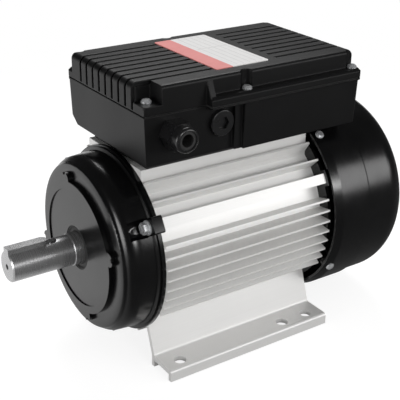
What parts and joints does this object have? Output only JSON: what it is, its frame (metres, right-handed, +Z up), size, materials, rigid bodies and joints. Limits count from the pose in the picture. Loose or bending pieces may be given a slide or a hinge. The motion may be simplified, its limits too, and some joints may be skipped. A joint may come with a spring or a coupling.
{
  "type": "single-phase electric motor",
  "caption": "Foot-mounted single-phase capacitor motor with a finned aluminium frame, keyed shaft, fan cowl and capacitor terminal box on top.",
  "frame": {"origin": "middle of the four outer foot holes, on the plane that the feet stand on", "axes": "+Z up from the feet, -X along the output shaft towards its free end, -Y towards the side with the cable gland"},
  "size_m": [0.3305, 0.1668, 0.2261],
  "materials": {
    "bearing_steel": "ground and hardened",
    "black_enamel": "glossy black enamel",
    "board_resin": "brown moulded resin",
    "box_plastic": "fine satin moulding",
    "cast_cage": "as cast",
    "copper_wire": "enamelled copper wire",
    "core_steel": "stacked sheets, dull",
    "fan_plastic": "satin",
    "gasket_rubber": "matte",
    "gland_plastic": "satin",
    "governor_plastic": "moulded nylon",
    "governor_steel": "pressed sheet",
    "housing_aluminium": "satin, as extruded",
    "plate_print": "white panel with a plain red band",
    "run_capacitor_can": "smooth white can",
    "shaft_steel": "turned and ground",
    "start_capacitor_can": "smooth black can",
    "terminal_brass": "bright",
    "tie_plastic": "natural nylon",
    "zinc_steel": "bright zinc plate"
  },
  "bodies": {
    "frame": {"frame_housing": "housing_aluminium", "drive_end_shield": "black_enamel", "fan_end_shield": "black_enamel", "drive_end_screws": "zinc_steel", "fan_end_screws": "zinc_steel", "stator_core": "core_steel", "stator_winding": "copper_wire", "front_bearing_outer_ring": "bearing_steel", "rear_bearing_outer_ring": "bearing_steel", "shaft_seal": "gasket_rubber", "wave_washer": "bearing_steel", "fan_cowl": "black_enamel", "cowl_screws": "zinc_steel", "terminal_box_base": "box_plastic", "terminal_box_lid": "box_plastic", "lid_gasket": "gasket_rubber", "box_gasket": "gasket_rubber", "lid_screws": "zinc_steel", "box_screws": "zinc_steel", "nameplate": "plate_print", "gland_body": "gland_plastic", "gland_nut": "gland_plastic", "gland_seal": "gasket_rubber", "gland_locknut": "gland_plastic", "blanking_plug": "gland_plastic", "plug_locknut": "gland_plastic", "run_capacitor": "run_capacitor_can", "start_capacitor": "start_capacitor_can", "capacitor_ties": "tie_plastic", "switch_board": "board_resin", "switch_fixed_contact": "terminal_brass", "terminal_board": "board_resin", "terminal_studs": "terminal_brass", "terminal_links": "terminal_brass"},
    "rotor": {"shaft": "shaft_steel", "shaft_key": "shaft_steel", "rotor_core": "core_steel", "rotor_cage": "cast_cage", "front_bearing_inner_ring": "bearing_steel", "rear_bearing_inner_ring": "bearing_steel", "cooling_fan": "fan_plastic", "fan_clip": "zinc_steel", "governor_plate": "governor_steel"},
    "front_balls": {"front_bearing_balls": "bearing_steel"},
    "rear_balls": {"rear_bearing_balls": "bearing_steel"},
    "upper_flyweight": {"flyweight_upper": "governor_steel"},
    "lower_flyweight": {"flyweight_lower": "governor_steel"},
    "governor_sleeve": {"governor_collar": "governor_plastic"},
    "start_switch_blade": {"switch_blade": "terminal_brass"}
  },
  "joints": [
    {"name": "rotor_spin", "type": "hinge", "parent": "frame", "child": "rotor", "pos_m": [0, 0, 0.09], "axis": [1, 0, 0], "continuous": true},
    {"name": "front_balls_roll", "type": "hinge", "parent": "frame", "child": "front_balls", "pos_m": [0, 0, 0.09], "axis": [1, 0, 0], "continuous": true},
    {"name": "rear_balls_roll", "type": "hinge", "parent": "frame", "child": "rear_balls", "pos_m": [0, 0, 0.09], "axis": [1, 0, 0], "continuous": true},
    {"name": "flyweight_swing", "type": "hinge", "parent": "rotor", "child": "upper_flyweight", "pos_m": [0.071, 0, 0.115], "axis": [0, 1, 0], "range_deg": [0, 20], "stiffness_Nm_per_rad": 0.05},
    {"name": "lower_flyweight_swing", "type": "hinge", "parent": "rotor", "child": "lower_flyweight", "pos_m": [0.071, 0, 0.065], "axis": [0, -1, 0], "range_deg": [0, 20]},
    {"name": "collar_slide", "type": "slide", "parent": "rotor", "child": "governor_sleeve", "axis": [-1, 0, 0], "range_m": [0, 0.0024]},
    {"name": "switch_blade_rock", "type": "hinge", "parent": "frame", "child": "start_switch_blade", "pos_m": [0.0772, 0, 0.054], "axis": [0, -1, 0], "range_deg": [0, 8]}
  ],
  "couplings": [
    {"joint": "lower_flyweight_swing", "follows": "flyweight_swing", "ratio": 1},
    {"joint": "collar_slide", "follows": "flyweight_swing", "m_per_rad": 0.00675},
    {"joint": "switch_blade_rock", "follows": "flyweight_swing", "ratio": 0.4},
    {"joint": "front_balls_roll", "follows": "rotor_spin", "ratio": 0.397},
    {"joint": "rear_balls_roll", "follows": "rotor_spin", "ratio": 0.3815}
  ]
}
